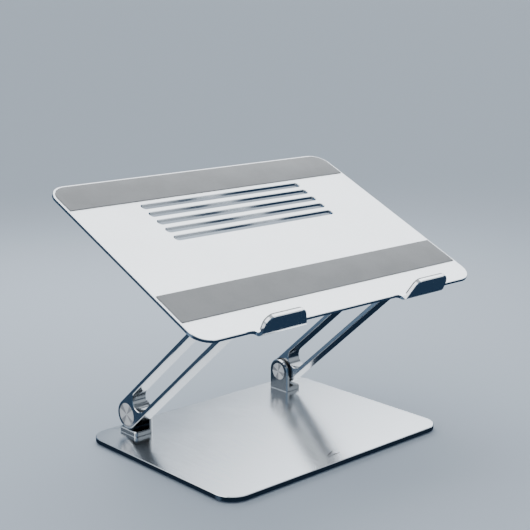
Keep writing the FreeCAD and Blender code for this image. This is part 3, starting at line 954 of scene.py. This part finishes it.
@dataclass
class PlatformFrame:
    """The platform's own axes: X, back along the plate, and its normal.

    Attributes:
        origin: A point on the strips' upper faces.
        normal: The plate's upward normal.
    """

    origin: Vector
    normal: Vector

    @classmethod
    def from_record(cls, record: dict[str, Any]) -> PlatformFrame:
        """Reads the laptop's resting face from the record.

        Args:
            record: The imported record.

        Returns:
            The platform's frame.
        """
        mount = next(m for m in record["mounts"] if m["name"] == "laptop_rest")
        return cls(Vector(mount["pos_m"]), Vector(mount["axis"]).normalized())

    @property
    def matrix(self) -> Matrix:
        """The place of the platform's own frame in the stand's frame."""
        across = Vector((1.0, 0.0, 0.0))
        back = self.normal.cross(across)
        turn = Matrix((across, back, self.normal)).transposed().to_4x4()
        return Matrix.Translation(self.origin) @ turn

    def extent(self, node: bpy.types.Object) -> tuple[Vector, Vector]:
        """A node's lowest and highest corners along the platform's own axes.

        Args:
            node: The CAD node.

        Returns:
            The two corners.
        """
        inverse = self.matrix.inverted()
        points = [inverse @ vertex.co for vertex in node.data.vertices]
        low = Vector([min(point[axis] for point in points) for axis in range(3)])
        high = Vector([max(point[axis] for point in points) for axis in range(3)])
        return low, high


@dataclass
class Platform:
    """The tilting plate, its grip strips and its hooks' liners.

    Attributes:
        strip_gap: The gap between a strip and its recess.
        strip_round: The round of a strip's upper edge.
        rear_corner: The corner radius of the rear strip's back corners.
        front_corner: The corner radius of a strip's other corners.
    """

    strip_gap: float = 0.18 * MM
    strip_round: float = 0.30 * MM
    rear_corner: float = 12.9 * MM
    front_corner: float = 0.6 * MM

    def build(self, frame: dict[str, Any], finishes: Finishes, axes: PlatformFrame) -> None:
        """Dresses the plate and liners and makes the strips.

        Args:
            finishes: The finishes.
            axes: The platform's own frame.
        """
        nodes = frame["nodes"]
        dress(nodes, ["platform_plate"], finishes.platform)
        dress(nodes, [f"{side.value}_hook_liner" for side in Side], finishes.silicone)
        strips = {"front_grip_strip": self.front_corner, "rear_grip_strip": self.rear_corner}
        for name, back_radius in strips.items():
            self._strip(nodes[name], name, back_radius, finishes, axes)

    def _strip(
        self, node: bpy.types.Object, name: str, back_radius: float, finishes: Finishes, axes: PlatformFrame
    ) -> None:
        """Makes one grip strip with a soft upper edge.

        Args:
            node: The CAD strip that it stands for.
            name: That strip's name.
            back_radius: The radius of its two back corners.
            finishes: The finishes.
            axes: The platform's own frame.
        """
        low, high = axes.extent(node)
        gap = Vector((self.strip_gap, self.strip_gap, 0.0))
        low, high = low + gap, high - gap
        outline = self._outline(low, high, back_radius)
        mesh = bmesh.new()
        levels = [(0.0, low.z), (0.0, high.z - self.strip_round)]
        for step in range(1, ROUND_STEPS + 1):
            angle = math.pi / 2 * step / ROUND_STEPS
            inset = self.strip_round * (1 - math.cos(angle))
            levels.append((inset, high.z - self.strip_round * (1 - math.sin(angle))))
        rings = []
        for inset, height in levels:
            rings.append([mesh.verts.new((*self._inset(point, inset), height)) for point in outline])
        for first, second in zip(rings, rings[1:]):
            for step in range(len(outline)):
                after = (step + 1) % len(outline)
                mesh.faces.new((first[step], first[after], second[after], second[step]))
        mesh.faces.new(rings[0][::-1])
        mesh.faces.new(rings[-1])
        strip = finish_mesh(name + "_silicone", mesh, finishes.silicone)
        strip.matrix_world = axes.matrix
        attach(strip, "platform")
        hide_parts(name)
        log.info("built %s", strip.name)

    def _outline(self, low: Vector, high: Vector, back_radius: float) -> list[tuple[Vector, Vector, float]]:
        """The strip's outline, each corner an arc.

        Args:
            low: Its lowest corner in the platform's frame.
            high: Its highest corner.
            back_radius: The radius of its back corners.

        Returns:
            Points as arc centre, outward direction and radius, in order.
        """
        corners = [
            (high.x, high.y, back_radius, 0.0),
            (low.x, high.y, back_radius, 90.0),
            (low.x, low.y, self.front_corner, 180.0),
            (high.x, low.y, self.front_corner, 270.0),
        ]
        points = []
        for x, y, radius, start in corners:
            sign_x = 1.0 if x == high.x else -1.0
            sign_y = 1.0 if y == high.y else -1.0
            centre = Vector((x - sign_x * radius, y - sign_y * radius))
            for step in range(CORNER_STEPS + 1):
                angle = math.radians(start + 90.0 * step / CORNER_STEPS)
                points.append((centre, Vector((math.cos(angle), math.sin(angle))), radius))
        return points

    @staticmethod
    def _inset(point: tuple[Vector, Vector, float], inset: float) -> Vector:
        """A point of the outline, moved inwards.

        Args:
            point: Its arc centre, outward direction and radius.
            inset: How far in.

        Returns:
            The point in plan.
        """
        centre, outward, radius = point
        return centre + outward * (radius - inset)


@dataclass
class SpunCap:
    """A turned disc that closes one face of a hinge.

    Attributes:
        groove_count: Turned grooves over its face.
        groove_steps: Steps across one groove.
        groove_depth: Their depth.
        edge: The chamfer of its rim.
    """

    groove_count: int = 16
    groove_steps: int = 4
    groove_depth: float = 0.012 * MM
    edge: float = 0.22 * MM

    def build(
        self, node: str, facing: float, body: str, thickness: float, material: bpy.types.Material
    ) -> None:
        """Makes the disc in its node's place.

        Args:
            node: The CAD cap that it stands for.
            facing: The sign of X that its face looks to.
            body: The body that it rides on.
            thickness: The disc's own thickness.
            material: Its finish.
        """
        low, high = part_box(node)
        centre = (low + high) / 2
        radius = (high.z - low.z) / 2
        face = high.x if facing > 0 else low.x
        steps = self.groove_steps * self.groove_count
        flat = radius - self.edge
        profile = [(0.0, 0.0)]
        for step in range(1, steps + 1):
            phase = 2 * math.pi * step / self.groove_steps
            dip = self.groove_depth * (1 - math.cos(phase)) / 2
            profile.append((flat * step / steps, -dip))
        profile += [(radius, -self.edge), (radius, -thickness), (0.0, -thickness)]
        mesh = turned_solid(profile, Vector((facing, 0.0, 0.0)), 128)
        cap = finish_mesh(node + "_spun", mesh, material)
        cap.location = (face, centre.y, centre.z)
        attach(cap, body)
        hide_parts(node)
        log.info("built %s", cap.name)


@dataclass
class FrictionHinge:
    """One hinge: bracket, bolt, friction washer, disc springs, nut and two caps.

    Attributes:
        side: The stand's side.
        level: The lower or the upper hinge.
        outer_cap_thickness: The outer disc's thickness.
        inner_cap_thickness: The inner disc's thickness.
    """

    side: Side
    level: Level
    outer_cap_thickness: float = 0.9 * MM
    inner_cap_thickness: float = 0.6 * MM

    def build(self, frame: dict[str, Any], finishes: Finishes) -> None:
        """Dresses the hinge's nodes and makes its caps.

        Args:
            finishes: The finishes.
        """
        nodes = frame["nodes"]
        prefix = f"{self.side.value}_{self.level.value}_"
        dress(nodes, [prefix + "bracket"], finishes.bracket)
        dress(nodes, [prefix + "friction_washer"], finishes.polymer)
        dress(nodes, [prefix + "bush"], finishes.bronze)
        steel = ("axle", "lock_nut", "spring_washers", "bracket_screws")
        dress(nodes, [prefix + piece for piece in steel], finishes.steel)
        outward = self.side.outward
        arm = f"{self.side.value}_arm"
        cap = SpunCap()
        cap.build(prefix + "outer_cap", outward, arm, self.outer_cap_thickness, finishes.outer_cap)
        lug = self.level.plate_body
        cap.build(prefix + "inner_cap", -outward, lug, self.inner_cap_thickness, finishes.inner_cap)


@dataclass
class Arm:
    """One slotted arm.

    Attributes:
        side: The stand's side.
    """

    side: Side

    def build(self, frame: dict[str, Any], finishes: Finishes) -> None:
        """Dresses the arm.

        Args:
            finishes: The finishes.
        """
        dress(frame["nodes"], [f"{self.side.value}_arm"], finishes.arm)


# ---------------- studio


@dataclass
class StudioCamera:
    """The camera, placed from the middle of the base plate's upper face.

    Attributes:
        azimuth: Degrees from straight ahead, positive to the right.
        elevation: Degrees above the horizon.
        roll: Degrees of roll.
        distance: From the aim point.
        aim_up: How far above the base's middle it aims, along its own up.
        aim_right: How far to its own right.
        lens: Focal length in millimetres.
        sensor: The sensor's width in millimetres.
        sees: The nearest and the farthest that it sees.
    """

    azimuth: float = -42.774
    elevation: float = 12.881
    roll: float = 0.254
    distance: float = 0.94371
    aim_up: float = 0.128197
    aim_right: float = -0.001823
    lens: float = 81.86
    sensor: float = 36.0
    sees: tuple[float, float] = (0.05, 200.0)

    def build(self) -> None:
        """Adds the camera and makes it the scene's."""
        low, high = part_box("base_plate")
        middle = Vector(((low.x + high.x) / 2, (low.y + high.y) / 2, high.z))
        azimuth, elevation = math.radians(self.azimuth), math.radians(self.elevation)
        right = Vector((math.cos(azimuth), math.sin(azimuth), 0.0))
        level = Vector((math.sin(azimuth), -math.cos(azimuth), 0.0))
        back = level * math.cos(elevation) + Vector((0.0, 0.0, math.sin(elevation)))
        up = back.cross(right)
        roll = math.radians(self.roll)
        own_right = right * math.cos(roll) + up * math.sin(roll)
        own_up = up * math.cos(roll) - right * math.sin(roll)
        data = bpy.data.cameras.new("studio_camera")
        data.lens = self.lens
        data.sensor_width = self.sensor
        data.clip_start, data.clip_end = self.sees
        camera = bpy.data.objects.new("studio_camera", data)
        place = Matrix((own_right, own_up, back)).transposed().to_4x4()
        aim = middle + own_up * self.aim_up + own_right * self.aim_right
        place.translation = aim + back * self.distance
        camera.matrix_world = place
        bpy.context.scene.collection.objects.link(camera)
        bpy.context.scene.camera = camera
        log.info("placed the camera")


@dataclass(frozen=True)
class SoftBox:
    """One soft area light, which polished surfaces don't mirror.

    Attributes:
        name: Its name.
        toward: The way from the stand to the light.
        distance: How far it is.
        size: Its width.
        power: Its power in watts.
    """

    name: str
    toward: tuple[float, float, float]
    distance: float
    size: float
    power: float

    def build(self, centre: Vector) -> None:
        """Adds the light.

        Args:
            centre: What it points at.
        """
        data = bpy.data.lights.new(self.name, "AREA")
        data.shape = "SQUARE"
        data.size = self.size
        data.energy = self.power
        light = bpy.data.objects.new(self.name, data)
        direction = Vector(self.toward).normalized()
        light.location = centre + direction * self.distance
        light.rotation_mode = "QUATERNION"
        light.rotation_quaternion = direction.to_track_quat("Z", "Y")
        light.visible_glossy = False
        bpy.context.scene.collection.objects.link(light)


@dataclass(frozen=True)
class Panel:
    """A soft bright patch that polished metal mirrors.

    Attributes:
        azimuth: Degrees from +X towards +Y.
        elevation: Degrees above the horizon.
        radius: The half width of its full brightness, in degrees.
        softness: How many degrees it takes to fade away.
        color: Its brightness.
    """

    azimuth: float
    elevation: float
    radius: float
    softness: float
    color: Color

    @property
    def toward(self) -> tuple[float, float, float]:
        """The way to the panel's middle."""
        turn, rise = math.radians(self.azimuth), math.radians(self.elevation)
        return (math.cos(turn) * math.cos(rise), math.sin(turn) * math.cos(rise), math.sin(rise))

    def over(self, sheet: NodeSheet, direction: Any, color: Any) -> bpy.types.NodeSocket:
        """Lays the panel over what is there already.

        Args:
            sheet: Adds the nodes.
            direction: The way that is looked.
            color: What is there already.

        Returns:
            The new colour's socket.
        """
        facing = sheet.vector("DOT_PRODUCT", direction, self.toward).outputs["Value"]
        outer = math.cos(math.radians(self.radius + self.softness))
        inner = math.cos(math.radians(self.radius))
        return sheet.mix(sheet.ramp(facing, outer, inner), color, self.color)


@dataclass
class Studio:
    """The pale floor, the soft lights and what the polished metal mirrors.

    Attributes:
        floor_color: The floor's colour.
        floor_roughness: Its roughness.
        floor_specular: Its specular level.
        floor_half: Half the floor's width.
        bands: What gloss sees, as the sine of the elevation and the brightness there.
        panels: The soft panels that gloss sees.
        surround: The even light from all round.
        lights: The soft area lights.
    """

    floor_color: Color = (0.44, 0.51, 0.59)
    floor_roughness: float = 0.8
    floor_specular: float = 0.1
    floor_half: float = 60.0
    bands: tuple[tuple[float, Color], ...] = (
        (-0.70, (0.020, 0.042, 0.082)),
        (-0.25, (0.032, 0.062, 0.110)),
        (-0.02, (0.060, 0.110, 0.180)),
        (0.30, (0.130, 0.200, 0.290)),
        (0.72, (0.600, 0.650, 0.710)),
    )
    panels: tuple[Panel, ...] = (
        Panel(22.0, 42.0, 22.0, 13.0, (3.5, 3.7, 3.9)),
        Panel(152.0, 44.0, 22.0, 8.0, (2.1, 2.2, 2.3)),
        Panel(-50.0, 18.0, 12.0, 12.0, (1.1, 1.2, 1.3)),
        Panel(154.0, -14.0, 12.0, 10.0, (0.20, 0.30, 0.44)),
    )
    surround: Color = (0.95, 0.97, 1.0)
    lights: tuple[SoftBox, ...] = (
        SoftBox("back_panel", (0.30, 0.60, 0.75), 0.75, 0.7, 5.0),
        SoftBox("fill_panel", (-0.8, -0.6, 0.75), 1.8, 1.4, 4.5),
    )

    def build(self, low: Vector, high: Vector) -> None:
        """Makes the studio round the stand.

        Args:
            low: The stand's lowest corner.
            high: The stand's highest corner.
        """
        centre = (low + high) / 2
        self._floor(low.z)
        self._world()
        for light in self.lights:
            light.build(centre)
        log.info("built the studio")

    def _floor(self, height: float) -> None:
        """Makes the floor, which the polished metal doesn't mirror.

        Args:
            height: Its height.
        """
        mesh = bmesh.new()
        half = self.floor_half
        corners = ((-half, -half), (half, -half), (half, half), (-half, half))
        mesh.faces.new([mesh.verts.new((x, y, height)) for x, y in corners])
        material, _, shader = new_material("pale_floor")
        shader.inputs["Base Color"].default_value = (*self.floor_color, 1.0)
        shader.inputs["Roughness"].default_value = self.floor_roughness
        shader.inputs["Specular IOR Level"].default_value = self.floor_specular
        floor = finish_mesh("floor", mesh, material)
        floor.visible_glossy = False
        floor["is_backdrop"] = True

    def _world(self) -> None:
        """Makes the surround: plain to the eye, panels and dark ground in the gloss."""
        world = bpy.data.worlds.new("studio")
        world.use_nodes = True
        world.node_tree.nodes.clear()
        sheet = NodeSheet(world.node_tree)
        looked = sheet.add("TexCoord").outputs["Generated"]
        direction = sheet.vector("NORMALIZE", looked).outputs["Vector"]
        parts = sheet.add("SeparateXYZ")
        sheet.feed(parts.inputs[0], direction)
        color: Any = self.bands[0][1]
        for (low, _), (high, brightness) in zip(self.bands, self.bands[1:]):
            color = sheet.mix(sheet.ramp(parts.outputs["Z"], low, high), color, brightness)
        for panel in self.panels:
            color = panel.over(sheet, direction, color)
        ray = sheet.add("LightPath")
        background = sheet.add("Background")
        shown = sheet.mix(ray.outputs["Is Glossy Ray"], self.surround, color)
        sheet.feed(background.inputs["Color"], shown)
        output = sheet.add("OutputWorld")
        sheet.feed(output.inputs["Surface"], background.outputs[0])
        bpy.context.scene.world = world


def main() -> None:
    """Builds and dresses the stand, part by part, and then the studio."""
    logging.basicConfig(level=logging.INFO, format="%(message)s")
    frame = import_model()
    cad_low, cad_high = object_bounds()
    axes = PlatformFrame.from_record(frame["record"])
    finishes = Finishes(axes.normal)
    BasePlate().build(frame, finishes)
    Platform().build(frame, finishes, axes)
    for side in Side:
        Arm(side).build(frame, finishes)
        for level in Level:
            FrictionHinge(side, level).build(frame, finishes)
    Studio().build(cad_low, cad_high)
    StudioCamera().build()


if __name__ == "__main__":
    main()
